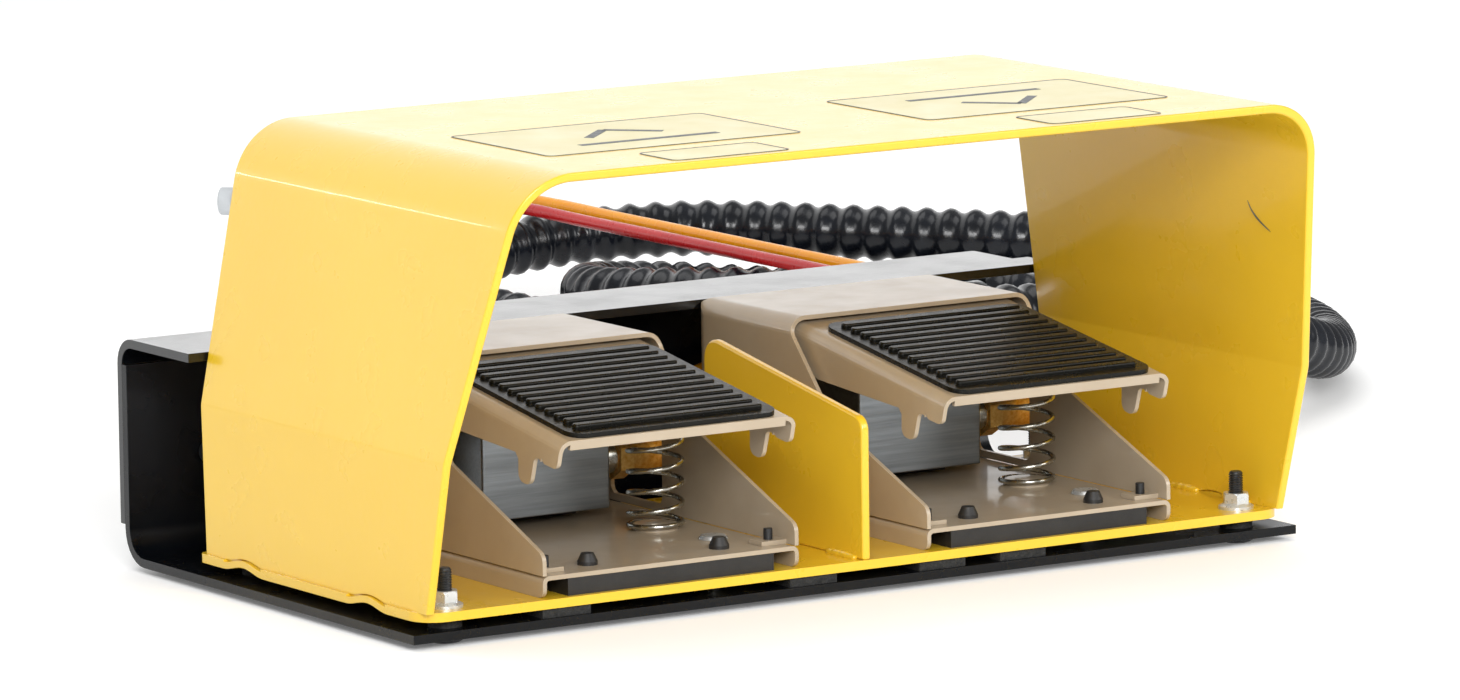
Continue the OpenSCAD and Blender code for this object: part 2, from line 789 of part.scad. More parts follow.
module valve_spring() {
    r = (spring_d - spring_wire) / 2;
    count = floor(spring_turns * spring_step);
    color("#a2a4a6")
        translate([spring_pos[0], spring_pos[1], 0])
            tube([for (i = [0 : count]) let (a = i / spring_step)
                [r * cos(360 * a), r * sin(360 * a), spring_low + spring_rise(a)]], spring_wire, 8);
}

module left_tray() { at_valve(-1) valve_tray(); }
module left_mat() { at_valve(-1) valve_mat(); }
module left_tray_screws() { at_valve(-1) valve_tray_screws(); }
module left_housing() { at_valve(-1) valve_housing(); }
module left_housing_screws() { at_valve(-1) valve_housing_screws(); }
module left_gasket() { at_valve(-1) valve_gasket(); }
module left_valve_block() { at_valve(-1) valve_block(); }
module left_silencer() { at_valve(-1) valve_silencer(); }
module left_outlet_fitting() { at_valve(-1) valve_outlet_fitting(); }
module left_hinge_pins() { at_valve(-1) valve_hinge_pins(); }
module left_pedal() { at_valve(-1) valve_pedal(); }
module left_pedal_pad() { at_valve(-1) valve_pedal_pad(); }
module left_plunger() { at_valve(-1) valve_plunger(); }
module left_spring() { at_valve(-1) valve_spring(); }

module right_tray() { at_valve(1) valve_tray(); }
module right_mat() { at_valve(1) valve_mat(); }
module right_tray_screws() { at_valve(1) valve_tray_screws(); }
module right_housing() { at_valve(1) valve_housing(); }
module right_housing_screws() { at_valve(1) valve_housing_screws(); }
module right_gasket() { at_valve(1) valve_gasket(); }
module right_valve_block() { at_valve(1) valve_block(); }
module right_silencer() { at_valve(1) valve_silencer(); }
module right_outlet_fitting() { at_valve(1) valve_outlet_fitting(); }
module right_hinge_pins() { at_valve(1) valve_hinge_pins(); }
module right_pedal() { at_valve(1) valve_pedal(); }
module right_pedal_pad() { at_valve(1) valve_pedal_pad(); }
module right_plunger() { at_valve(1) valve_plunger(); }
module right_spring() { at_valve(1) valve_spring(); }

// tubes and conduit

module left_channel_tube() {
    color("#e0641c")
        tube(left_route, tube_d, 8);
}

module right_channel_tube() {
    color("#b3201c")
        tube(right_route, tube_d, 8);
}

module conduit_clip() {
    clip_r = conduit_d / 2 + hole_gap;
    color("#55575a")
        difference() {
            union() {
                translate([0, clip_pos[1], clip_pos[2]])
                    bar_x(clip_pos[0] - clip_w / 2, clip_pos[0] + clip_w / 2, clip_r + clip_band);
                translate([clip_pos[0] - clip_w / 2, upstand_in - clip_band, clip_screw_z - 6])
                    cube([clip_w, clip_band, clip_pos[2] - clip_screw_z + 6]);
                translate([clip_pos[0] - clip_w / 2, clip_pos[1], clip_pos[2] - clip_band])
                    cube([clip_w, upstand_in - clip_pos[1], clip_band]);
            }
            translate([0, clip_pos[1], clip_pos[2]])
                bar_x(clip_pos[0] - clip_w, clip_pos[0] + clip_w, clip_r);
            translate([clip_pos[0], 0, clip_screw_z])
                bar_y(upstand_in - 3, upstand_in + 1, 2 + hole_gap);
        }
}

module clip_screw() {
    rear = front_y + bracket_rear;
    color("#2a2a2c")
        translate([clip_pos[0], 0, clip_screw_z]) {
            bar_y(upstand_in - clip_band - 2.2, upstand_in - clip_band, 3.8);
            bar_y(upstand_in - clip_band - eps, rear + eps, 2);
            bar_y(rear, rear + screw_head_h, 3.5);
        }
}

module conduit_run() {
    color("#151515")
        tube(conduit_route, conduit_d, 12);
}

// outline with round ends from p to q
module oval(p, q, r) {
    run = q - p;
    translate(p)
        circle(r, $fn = 64);
    translate(q)
        circle(r, $fn = 64);
    translate(p)
        rotate(atan2(run[1], run[0]))
            translate([0, -r])
                square([norm(run), 2 * r]);
}

// two turns of the conduit lying on each other
module conduit_coil() {
    color("#151515")
        linear_extrude(hank_top)
            difference() {
                oval(hank_near, hank_far, hank_out);
                oval(hank_near, hank_fold, hank_in);
            }
}

module conduit_end() {
    color("#151515")
        tube(end_route, conduit_d, 12);
}

// cuff on the free end of the conduit
module conduit_cuff() {
    color("#202022")
        translate(cuff_pos)
            rotate([0, 90, cuff_turn])
                translate([0, 0, -cuff_len])
                    cylinder(h = cuff_len, d = conduit_d + 2.4);
}

module orange_tail() {
    color("#e0641c")
        tube(orange_route, tube_d, 8);
}

module red_tail() {
    color("#b3201c")
        tube(red_route, tube_d, 8);
}

// fitting on the end of a tube, in the tube's own direction
module tail_fitting(route) {
    last = len(route) - 1;
    way = route[last] - route[last - 1];
    translate(route[last])
        rotate([0, 90, atan2(way[1], way[0])]) {
            cylinder(h = 4, d = tail_fitting_d - 3);
            translate([0, 0, 4 - eps])
                cylinder(h = tail_fitting_len - 10, d = tail_fitting_d);
            translate([0, 0, tail_fitting_len - 6 - 2 * eps])
                cylinder(h = 6, d = tail_fitting_d - 3);
        }
}

module orange_fitting() { color("#33363a") tail_fitting(orange_route); }
module red_fitting() { color("#33363a") tail_fitting(red_route); }

base_plate();
rear_bracket();
bracket_screws();
floor_pads();
guard_floor();
guard_hood();
centre_divider();
foot_bolts();
flange_nuts();
left_tray();
left_mat();
left_tray_screws();
left_housing();
left_housing_screws();
left_gasket();
left_valve_block();
left_silencer();
left_outlet_fitting();
left_hinge_pins();
left_pedal();
left_pedal_pad();
left_plunger();
left_spring();
right_tray();
right_mat();
right_tray_screws();
right_housing();
right_housing_screws();
right_gasket();
right_valve_block();
right_silencer();
right_outlet_fitting();
right_hinge_pins();
right_pedal();
right_pedal_pad();
right_plunger();
right_spring();
left_channel_tube();
right_channel_tube();
conduit_clip();
clip_screw();
conduit_run();
conduit_coil();
conduit_end();
conduit_cuff();
orange_tail();
red_tail();
orange_fitting();
red_fitting();
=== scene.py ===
"""Looks of the pneumatic twin foot switch, built round its CAD frame."""

import json
import math

import bmesh
import bpy
import numpy as np
from mathutils import Matrix, Vector


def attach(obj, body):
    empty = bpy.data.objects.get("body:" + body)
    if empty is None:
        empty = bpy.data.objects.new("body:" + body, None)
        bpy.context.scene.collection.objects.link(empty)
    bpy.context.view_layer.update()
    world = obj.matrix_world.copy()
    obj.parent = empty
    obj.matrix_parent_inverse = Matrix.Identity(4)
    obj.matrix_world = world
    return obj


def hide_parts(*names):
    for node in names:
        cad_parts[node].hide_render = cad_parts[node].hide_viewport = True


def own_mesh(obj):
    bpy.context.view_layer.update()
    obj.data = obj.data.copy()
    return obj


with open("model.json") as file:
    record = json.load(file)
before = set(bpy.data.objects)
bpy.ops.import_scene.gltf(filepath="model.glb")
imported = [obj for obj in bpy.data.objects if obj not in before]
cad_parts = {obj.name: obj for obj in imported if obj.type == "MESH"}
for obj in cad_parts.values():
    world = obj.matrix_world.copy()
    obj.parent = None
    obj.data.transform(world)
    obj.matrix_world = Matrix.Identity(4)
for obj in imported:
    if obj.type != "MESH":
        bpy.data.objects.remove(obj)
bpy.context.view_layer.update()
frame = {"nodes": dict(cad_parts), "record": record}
NODES = frame["nodes"]
SLOTS = {s["node"]: s["material_slot"] for s in frame["record"]["subparts"]}
BODY = {n: b for b, ns in frame["record"]["behaviour"]["bodies"].items() for n in ns}
RNG = np.random.default_rng(7)
MM = 0.001
scene = bpy.context.scene

# places of the CAD frame, in millimetres
FRONT_Y = -76.0
FLOOR_TOP = 11.3
VALVE_X = 73.5
VALVE_Y = -73.5
SIDES = ((-1, "left"), (1, "right"))


def link(name, mesh):
    obj = bpy.data.objects.new(name, mesh)
    scene.collection.objects.link(obj)
    return obj


def srgb(code):
    """Linear colour of a hex code."""
    parts = [int(code[i : i + 2], 16) / 255 for i in (1, 3, 5)]
    return [c / 12.92 if c <= 0.04045 else ((c + 0.055) / 1.055) ** 2.4 for c in parts] + [1.0]


# Camera

CAM_POS = Vector((-1.66518, -2.59782, 0.54393))
CAM_RIGHT = Vector((0.84296, -0.53781, -0.01318)).normalized()
CAM_UP = Vector((0.09110, 0.11856, 0.98876))
CAM_BACK = CAM_RIGHT.cross(CAM_UP).normalized()
CAM_UP = CAM_BACK.cross(CAM_RIGHT)

cam_data = bpy.data.cameras.new("camera")
cam_data.sensor_width = 36.0
cam_data.lens = 233.26
cam_data.shift_x = 0.0206
cam_data.shift_y = -0.0164
cam_data.clip_start = 0.1
cam_data.clip_end = 30.0
camera = bpy.data.objects.new("camera", cam_data)
scene.collection.objects.link(camera)
rot = Matrix((CAM_RIGHT, CAM_UP, CAM_BACK)).transposed()
camera.matrix_world = Matrix.Translation(CAM_POS) @ rot.to_4x4()
scene.camera = camera


# Materials


class Nodes:
    """A material's nodes, with the object's own coordinates at hand."""

    def __init__(self, name):
        self.mat = bpy.data.materials.new(name)
        self.mat.use_nodes = True
        self.tree = self.mat.node_tree
        self.shader = self.tree.nodes["Principled BSDF"]
        self.coord = self.add("ShaderNodeTexCoord").outputs["Object"]

    def add(self, kind, **values):
        node = self.tree.nodes.new(kind)
        for key, value in values.items():
            setattr(node, key, value)
        return node

    def join(self, a, b):
        self.tree.links.new(a, b)

    def noise(self, scale, detail=3.0, rough=0.5, stretch=None):
        node = self.add("ShaderNodeTexNoise")
        node.inputs["Scale"].default_value = scale
        node.inputs["Detail"].default_value = detail
        node.inputs["Roughness"].default_value = rough
        source = self.coord
        if stretch:
            mapping = self.add("ShaderNodeMapping")
            mapping.inputs["Scale"].default_value = stretch
            self.join(source, mapping.inputs["Vector"])
            source = mapping.outputs["Vector"]
        self.join(source, node.inputs["Vector"])
        return node.outputs["Fac"]

    def ramp(self, source, stops):
        node = self.add("ShaderNodeValToRGB")
        while len(node.color_ramp.elements) < len(stops):
            node.color_ramp.elements.new(0.5)
        for element, (place, colour) in zip(node.color_ramp.elements, stops):
            element.position = place
            element.color = colour
        self.join(source, node.inputs["Fac"])
        return node.outputs["Color"]

    def span(self, source, low, high, start=0.3, end=0.7):
        node = self.add("ShaderNodeMapRange")
        keys = ("From Min", "From Max", "To Min", "To Max")
        for key, value in zip(keys, (start, end, low, high)):
            node.inputs[key].default_value = value
        self.join(source, node.inputs["Value"])
        return node.outputs["Result"]

    def bump(self, source, strength, distance, before=None):
        node = self.add("ShaderNodeBump")
        node.inputs["Strength"].default_value = strength
        node.inputs["Distance"].default_value = distance
        self.join(source, node.inputs["Height"])
        if before is not None:
            self.join(before, node.inputs["Normal"])
        return node.outputs["Normal"]

    def set(self, key, value):
        if hasattr(value, "is_linked"):
            self.join(value, self.shader.inputs[key])
        else:
            self.shader.inputs[key].default_value = value


def finish_mat(name, low, high, patch, rough, grain, metallic=0.0, coat=0.0, specular=0.5):
    """Two close colours in patches, roughness that varies and a fine grain.

    The grain is a (scale, strength, distance) of bumps.
    """
    m = Nodes(name)
    m.set("Base Color", m.ramp(m.noise(patch, 4, 0.6), [(0.32, srgb(low)), (0.68, srgb(high))]))
    m.set("Roughness", m.span(m.noise(patch * 2.7, 3, 0.5), rough[0], rough[1]))
    m.set("Metallic", metallic)
    m.set("Specular IOR Level", specular)
    m.set("Coat Weight", coat)
    m.set("Coat Roughness", 0.08)
    scale, strength, distance = grain
    m.set("Normal", m.bump(m.noise(scale, 2, 0.5), strength, distance))
    return m.mat


# sockets of a colour mix node
MIX_FACTOR, MIX_A, MIX_B, MIX_RESULT = 0, 6, 7, 2


def yellow_mat(name, low, high):
    """Powder coat with orange peel and a little dirt."""
    m = Nodes(name)
    base = m.ramp(m.noise(9, 3, 0.5), [(0.3, srgb(low)), (0.7, srgb(high))])
    specks = m.ramp(m.noise(420, 3, 0.7), [(0.14, srgb("#b8944a")), (0.17, (1, 1, 1, 1))])
    mix = m.add("ShaderNodeMix", data_type="RGBA", blend_type="MULTIPLY")
    mix.inputs[MIX_FACTOR].default_value = 1.0
    m.join(base, mix.inputs[MIX_A])
    m.join(specks, mix.inputs[MIX_B])
    m.set("Base Color", mix.outputs[MIX_RESULT])
    m.set("Roughness", m.span(m.noise(60, 3), 0.26, 0.32))
    m.set("Coat Weight", 0.4)
    m.set("Coat Roughness", 0.06)
    peel = m.bump(m.noise(330, 2, 0.4), 0.1, 0.0005)
    m.set("Normal", m.bump(m.noise(45, 2, 0.5), 0.015, 0.002, peel))
    return m.mat


def rubber_mat(name, low, high):
    """Moulded rubber with a fine grain."""
    m = Nodes(name)
    m.set("Base Color", m.ramp(m.noise(90, 5, 0.65), [(0.3, srgb(low)), (0.7, srgb(high))]))
    m.set("Roughness", m.span(m.noise(160, 3), 0.42, 0.6))
    m.set("Normal", m.bump(m.noise(1500, 3, 0.6), 0.25, 0.0002))
    return m.mat


def brushed_mat(name, low, high, stretch, rough):
    """Metal with fine lines along one axis."""
    m = Nodes(name)
    lines = m.noise(60, 6, 0.7, stretch)
    m.set("Base Color", m.ramp(lines, [(0.3, srgb(low)), (0.7, srgb(high))]))
    m.set("Roughness", m.span(m.noise(40, 4, 0.6, stretch), rough[0], rough[1]))
    m.set("Metallic", 1.0)
    m.set("Normal", m.bump(lines, 0.1, 0.0002))
    return m.mat


def tube_mat(name, low, high):
    """Polyurethane air tube."""
    m = Nodes(name)
    m.set("Base Color", m.ramp(m.noise(30, 3, 0.5), [(0.3, srgb(low)), (0.7, srgb(high))]))
    m.set("Roughness", m.span(m.noise(120, 2), 0.22, 0.34))
    m.set("Specular IOR Level", 0.3)
    m.set("Subsurface Weight", 0.1)
    m.set("Subsurface Radius", (0.004, 0.002, 0.001))
    m.set("Normal", m.bump(m.noise(260, 2), 0.05, 0.0005))
    return m.mat


MATS = {
    "yellow_coat": yellow_mat("yellow_coat", "#e1b827", "#e6bd2c"),
    "black_coat": finish_mat("black_coat", "#05070a", "#0a0c10", 20, (0.22, 0.36), coat=0.05,
                             specular=0.25, grain=(500, 0.08, 0.0004)),
    "black_gloss": finish_mat("black_gloss", "#05070a", "#0a0c10", 20, (0.14, 0.24), coat=0.2,
                              specular=0.5, grain=(500, 0.06, 0.0004)),
    "beige_coat": finish_mat("beige_coat", "#a6967f", "#b0a18b", 25, (0.3, 0.42), coat=0.42,
                             grain=(420, 0.08, 0.0004)),
    "black_steel": finish_mat("black_steel", "#17181a", "#232527", 120, (0.3, 0.5), specular=0.6,
                              grain=(900, 0.15, 0.0002)),
    "zinc": finish_mat("zinc", "#ccd0d1", "#e6e9ea", 160, (0.22, 0.4), metallic=0.7,
                       grain=(700, 0.08, 0.0002)),
    "spring_wire": finish_mat("spring_wire", "#a9a89f", "#c9c8c0", 220, (0.16, 0.3), metallic=1.0,
                              grain=(900, 0.06, 0.0002)),
    "aluminium": brushed_mat("aluminium", "#83888b", "#979ca0", (0.5, 14, 14), (0.3, 0.45)),
    "brass": finish_mat("brass", "#d39a3c", "#f0c878", 700, (0.35, 0.55), metallic=0.6,
                        grain=(1400, 0.6, 0.0005)),
    "black_rubber": rubber_mat("black_rubber", "#191817", "#262422"),
    "tread_rubber": finish_mat("tread_rubber", "#0d0d0a", "#161511", 90, (0.24, 0.34), specular=0.2,
                               grain=(1500, 0.15, 0.0002)),
    "black_foam": finish_mat("black_foam", "#151514", "#2a2a29", 500, (0.7, 0.9),
                             grain=(1200, 0.6, 0.0008)),
    "grey_plastic": finish_mat("grey_plastic", "#aeb2b6", "#c2c6c9", 60, (0.35, 0.5),
                               grain=(900, 0.1, 0.0003)),
    "conduit_black": finish_mat("conduit_black", "#080a0f", "#11151d", 60, (0.2, 0.3), specular=0.4,
                                grain=(700, 0.1, 0.0004)),
    "orange_tube": tube_mat("orange_tube", "#ee9804", "#f4a409"),
    "red_tube": tube_mat("red_tube", "#b3161b", "#c4201f"),
    "label_film": finish_mat("label_film", "#d8cd98", "#ded4a2", 30, (0.3, 0.42),
                             grain=(300, 0.05, 0.0004)),
    "label_ink": finish_mat("label_ink", "#3f4346", "#575b5e", 200, (0.4, 0.55),
                            grain=(600, 0.05, 0.0003)),
}


# Mesh helpers


def catmull(points, per=12):
    """Dense points of a smooth curve through the given ones."""
    p = np.asarray(points, float)
    p = np.vstack([2 * p[0] - p[1], p, 2 * p[-1] - p[-2]])
    out = []
    for i in range(1, len(p) - 2):
        a, b, c, d = p[i - 1 : i + 3]
        for t in np.arange(per) / per:
            out.append(0.5 * (2 * b + (c - a) * t + (2 * a - 5 * b + 4 * c - d) * t**2
                              + (3 * b - a - 3 * c + d) * t**3))
    out.append(p[-2])
    return np.array(out)


def resample(path, step):
    """The same curve with points at an even step."""
    run = np.concatenate([[0], np.cumsum(np.linalg.norm(np.diff(path, axis=0), axis=1))])
    at = np.linspace(0, run[-1], max(2, int(round(run[-1] / step)) + 1))
    return np.column_stack([np.interp(at, run, path[:, k]) for k in range(3)]), at


def turns(sides):
    """Even angles round a circle."""
    return np.arange(sides) * 2 * math.pi / sides


def frames(path):
    """Side and up at each point of a path, turned as little as possible."""
    tan = np.gradient(path, axis=0)
    tan /= np.linalg.norm(tan, axis=1)[:, None]
    side = np.cross(tan[0], [0, 0, 1.0])
    if np.linalg.norm(side) < 1e-3:
        side = np.cross(tan[0], [0, 1.0, 0])
    sides = []
    for t in tan:
        side = side - t * side.dot(t)
        side /= np.linalg.norm(side)
        sides.append(side)
    sides = np.array(sides)
    return sides, np.cross(sides, tan)


def grid_mesh(name, rings):
    """A closed mesh from equal rings of points, capped at both ends."""
    rings = np.asarray(rings)
    count, n, _ = rings.shape
    verts = rings.reshape(-1, 3)
    faces = []
    for i in range(count - 1):
        for k in range(n):
            a, b = i * n + k, i * n + (k + 1) % n
            faces.append((a, b, b + n, a + n))
    faces.append(tuple(range(n - 1, -1, -1)))
    faces.append(tuple((count - 1) * n + k for k in range(n)))
    mesh = bpy.data.meshes.new(name)
    mesh.from_pydata([tuple(v) for v in verts], [], faces)
    mesh.update()
    fix = bmesh.new()
    fix.from_mesh(mesh)
    bmesh.ops.recalc_face_normals(fix, faces=fix.faces)
    fix.to_mesh(mesh)
    fix.free()
    return mesh


def sweep(name, path, radii, sides):
    """A round tube along a path, with a radius at each point."""
    s, u = frames(path)
    turn = turns(sides)
    radii = np.broadcast_to(radii, len(path))
    rings = path[:, None, :] + radii[:, None, None] * (
        np.cos(turn)[None, :, None] * s[:, None, :] + np.sin(turn)[None, :, None] * u[:, None, :])
    return grid_mesh(name, rings)


# angles in degrees: edges that are bevelled, edges that are shaded sharp, and swept pieces
BEVEL_ANGLE = 28
SHARP_ANGLE = 32
SWEPT_ANGLE = 80


def shade(mesh, angle):
    """Smooth shading, sharp at edges over an angle in degrees."""
    for poly in mesh.polygons:
        poly.use_smooth = True
    mesh.set_sharp_from_angle(angle=math.radians(angle))


def finish_piece(obj, mat, body="frame", angle=40):
    """Material, shading and body of a new piece."""
    obj.data.materials.clear()
    obj.data.materials.append(MATS[mat])
    shade(obj.data, angle)
    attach(obj, body)


def weigh_normals(obj):
    """Shading that keeps flat faces flat beside their rounded edges."""
    weight = obj.modifiers.new("normals", "WEIGHTED_NORMAL")
    weight.keep_sharp = True


def round_edges(obj, width, segments):
    """Edges rounded by a width in millimetres."""
    mod = obj.modifiers.new("edge", "BEVEL")
    mod.width = width * MM
    mod.segments = segments
    mod.limit_method = "ANGLE"
    mod.angle_limit = math.radians(BEVEL_ANGLE)
    mod.use_clamp_overlap = True
    weigh_normals(obj)


def dress(node, mat=None, width=0.4, segments=2):
    """A copy of a CAD node with its edges rounded, in place of the node."""
    mesh = NODES[node].data.copy()
    work = bmesh.new()
    work.from_mesh(mesh)
    bmesh.ops.remove_doubles(work, verts=work.verts, dist=1e-6)
    bmesh.ops.dissolve_limit(work, angle_limit=math.radians(1), verts=work.verts, edges=work.edges)
    work.to_mesh(mesh)
    work.free()
    obj = link(node + "_skin", mesh)
    finish_piece(obj, mat or SLOTS[node], BODY[node], angle=SHARP_ANGLE)
    round_edges(obj, width, segments)
    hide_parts(node)
    return obj


def paint(node):
    """A CAD node that stays as it is, in a better material."""
    materials = NODES[node].data.materials
    materials.clear()
    materials.append(MATS[SLOTS[node]])


def mm(points):
    """Points in metres, from millimetres."""
    return np.asarray(points, float) * MM


# Cords

CONDUIT_R = 11.0
CONDUIT_CORE = 9.2
CONDUIT_SIDES = 22
RIB_PITCH = 10.0
RIB_STEPS = 9
CREST_POWER = 1.15
CONDUIT_ROUTE = [
    (110, 92, 57), (132, 92, 57), (152, 92, 57), (172, 92, 56), (220, 96, 52),
    (265, 106, 43), (307, 124, 32), (345, 150, 21), (376, 185, 15), (396, 220, 14), (407, 252, 14),
]
HANK_ROUTE = [
    (411, 286, 13.5), (405, 318, 12), (390, 345, 11), (366, 372, 11), (338, 400, 11),
    (312, 424, 11), (290, 443, 12), (262, 451, 15), (229, 444, 19), (204, 423, 23),
    (191, 393, 26), (194, 362, 29), (207, 336, 31), (230, 305, 33), (255, 273, 35),
    (275, 246, 35), (293, 230, 34.5), (315, 221, 33.5), (338, 220, 33.5), (361, 227, 33.5),
    (380, 242, 33.5), (393, 263, 33.5), (400, 290, 33.5), (398, 320, 33.5), (390, 345, 33.5),
    (377, 367, 33.5), (353, 400, 33.5), (329, 432, 33.5), (306, 464, 33.5), (286, 485, 33),
    (262, 500, 31.5), (235, 506, 30), (206, 502, 28), (180, 489, 26), (160, 469, 24.5),
    (148, 444, 23),
]
END_ROUTE = [
    (145, 418, 22), (148, 390, 21), (154, 360, 20), (160, 330, 20), (166, 300, 20), (171, 275, 20),
]
TUBE_R = 2.4
# in metres, like the other steps
TAIL_STEP = 0.006
TAIL_SIDES = 16
ORANGE_ROUTE = [
    (169.5, 272, 20), (172, 250, 21), (177, 231, 25), (187, 215, 31), (202, 208, 37.5),
    (216, 214, 42.5), (225, 232, 46), (228, 258, 47), (228, 320, 47), (228, 380, 47),
    (228, 440, 47), (227, 480, 47.5), (223.5, 510, 47.5), (215.5, 534, 46), (203, 553, 44),
    (187, 570.5, 42), (169.7, 586, 42),
]
RED_ROUTE = [
    (175, 272, 20), (177.5, 254, 21), (182, 241, 25), (189, 231, 30), (199, 226, 36),
    (208, 231, 41.5), (212, 246, 45.5), (213, 268, 47), (213, 325, 47), (213, 380, 47),
    (213, 435, 47), (212, 475, 47.5), (208, 498, 47.5), (200, 516, 46.5), (189, 533, 45),
    (178, 548, 45),
]


def make_conduit():
    """Ribbed hose: a crest and a groove at each pitch."""
    route = mm(catmull(CONDUIT_ROUTE + HANK_ROUTE + END_ROUTE))
    path, at = resample(route, RIB_PITCH * MM / RIB_STEPS)
    crest = 0.5 + 0.5 * np.cos(2 * math.pi * at / (RIB_PITCH * MM))
    radii = (CONDUIT_CORE + (CONDUIT_R - CONDUIT_CORE) * crest**CREST_POWER) * MM
    obj = link("conduit", sweep("conduit", path, radii, CONDUIT_SIDES))
    finish_piece(obj, "conduit_black", angle=SWEPT_ANGLE)
    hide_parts("conduit_run", "conduit_coil", "conduit_end")
    return obj, path


def make_tube(name, node, route, mat, step, sides):
    """An air tube along a route, in place of its node."""
    path, _ = resample(mm(catmull(route)), step)
    obj = link(name, sweep(name, path, TUBE_R * MM, sides))
    finish_piece(obj, mat, angle=SWEPT_ANGLE)
    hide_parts(node)
    return obj, path


FITTING_ROUND = 2.6
FITTING_STEPS = 4
# the orange tube's end lies further left than its solid, so that it shows past the hood
ORANGE_SHIFT = -9.3

conduit, conduit_path = make_conduit()
orange_tail, orange_path = make_tube("orange_tube_tail", "orange_tail", ORANGE_ROUTE, "orange_tube",
                                     TAIL_STEP, TAIL_SIDES)
red_tail, red_path = make_tube("red_tube_tail", "red_tail", RED_ROUTE, "red_tube",
                               TAIL_STEP, TAIL_SIDES)
orange_fitting = dress("orange_fitting", width=FITTING_ROUND, segments=FITTING_STEPS)
orange_fitting.data.transform(Matrix.Translation((ORANGE_SHIFT * MM, 0, 0)))
dress("red_fitting", width=FITTING_ROUND, segments=FITTING_STEPS)
cuff = dress("conduit_cuff", width=1.2)


# Stage and light


def stage_plane(name, corners, colour, glow):
    """A plane of the studio, with a glow of its own."""
    mesh = bpy.data.meshes.new(name)
    mesh.from_pydata(corners, [], [(0, 1, 2, 3)])
    obj = link(name, mesh)
    m = Nodes(name)
    m.set("Base Color", m.ramp(m.noise(0.8, 2), [(0.3, srgb(colour)), (0.7, srgb("#ffffff"))]))
    m.set("Roughness", 0.9)
    m.set("Specular IOR Level", 0.0)
    m.set("Emission Color", (1, 1, 1, 1))
    m.set("Emission Strength", glow)
    obj.data.materials.append(m.mat)


stage_plane("studio_floor", [(-60, -60, 0), (60, -60, 0), (60, 60, 0), (-60, 60, 0)],
            "#f7f7f6", 0.12)
stage_plane("studio_wall", [(-56, 50, -6), (56, 50, -6), (56, 50, 50), (-56, 50, 50)],
            "#fbfbfb", 0.9)


def area_light(name, place, target, size, power):
    """A white lamp of a size in metres and a power in watts, turned to its target."""
    data = bpy.data.lights.new(name, "AREA")
    data.shape = "RECTANGLE"
    data.size, data.size_y = size
    data.energy = power
    obj = bpy.data.objects.new(name, data)
    scene.collection.objects.link(obj)
    obj.location = place
    obj.rotation_mode = "QUATERNION"
    obj.rotation_quaternion = (Vector(target) - Vector(place)).to_track_quat("-Z", "Y")


area_light("key", (-2.2, -2.0, 2.6), (0, 0, 0.05), (1.6, 1.6), 25)
area_light("front", (-1.2, -2.9, 1.3), (0.05, 0, 0.06), (1.6, 1.0), 85)
area_light("fill", (2.2, -2.6, 1.6), (0, 0, 0.05), (1.8, 1.4), 36)
area_light("strip", (-1.7, 2.9, 0.5), (-0.16, 0, 0.13), (0.5, 0.03), 1.3)
area_light("top", (0.2, 0.6, 3.0), (0, 0.1, 0), (2.4, 2.0), 28)

world = bpy.data.worlds.new("studio")
scene.world = world
world.use_nodes = True
sky = world.node_tree.nodes["Background"].inputs
sky["Color"].default_value = (1, 1, 1, 1)
sky["Strength"].default_value = 0.4
scene.view_settings.view_transform = "Standard"


# Guard

HOOD_T = 3.0
HOOD_H = 142.0
HOOD_OVERHANG = 38.8
HOOD_D = 141.0
HOOD_LEAN = 5.0
HOOD_CREASE = 49.5
HOOD_EDGE = 0.9
HOOD_PATH = [
    (-166.5, 0), (-167.5, HOOD_CREASE), (-152.5, HOOD_H),
    (152.5, HOOD_H), (167.5, HOOD_CREASE), (166.5, 0),
]
HOOD_RADII = [0, 9, 22, 22, 9, 0]
# depths of the rows of points that lie beside the waves
HOOD_ROWS = [8, 66, 76, 86, 134]


def bent_path(points, radii, arc=20, flat=6):
    """Points and outward normals of a bent sheet's outer face, seen along the bend."""
    pts = [np.array(p, float) for p in points]
    out = []

    def left(a, b):
        d = (b - a) / np.linalg.norm(b - a)
        return np.array([-d[1], d[0]])

    last = pts[0]
    for i in range(1, len(pts)):
        n = left(pts[i - 1], pts[i])
        if i == len(pts) - 1:
            out += [(last + (pts[i] - last) * t, n) for t in np.linspace(0, 1, flat)]
            break
        n2 = left(pts[i], pts[i + 1])
        half = math.acos(np.clip(n.dot(n2), -1, 1)) / 2
        reach = radii[i] * math.tan(half)
        d1 = (pts[i] - pts[i - 1]) / np.linalg.norm(pts[i] - pts[i - 1])
        start = pts[i] - d1 * reach
        out += [(last + (start - last) * t, n) for t in np.linspace(0, 1, flat)]
        centre = start - n * radii[i]
        count = max(3, int(arc * half / 0.7))
        for k in range(1, count):
            t = k / count
            m = n * math.sin(2 * half * (1 - t)) + n2 * math.sin(2 * half * t)
            m = m / np.linalg.norm(m)
            out.append((centre + m * radii[i], m))
        d2 = (pts[i + 1] - pts[i]) / np.linalg.norm(pts[i + 1] - pts[i])
        last = pts[i] + d2 * reach
    return out


# the floor's rim rises in a small wave at two places on each side, under an arch in the hood's edge
WAVES = (36.0, 115.0)
WAVE_HALF = 13.0
WAVE_RISE = 1.9
ARCH_RISE = 1.5


def wave(y):
    """Share of the rise at a y of the frame, in millimetres."""
    away = min(abs(y - FRONT_Y - w) for w in WAVES)
    return 0.0 if away >= WAVE_HALF else 0.5 + 0.5 * math.cos(math.pi * away / WAVE_HALF)


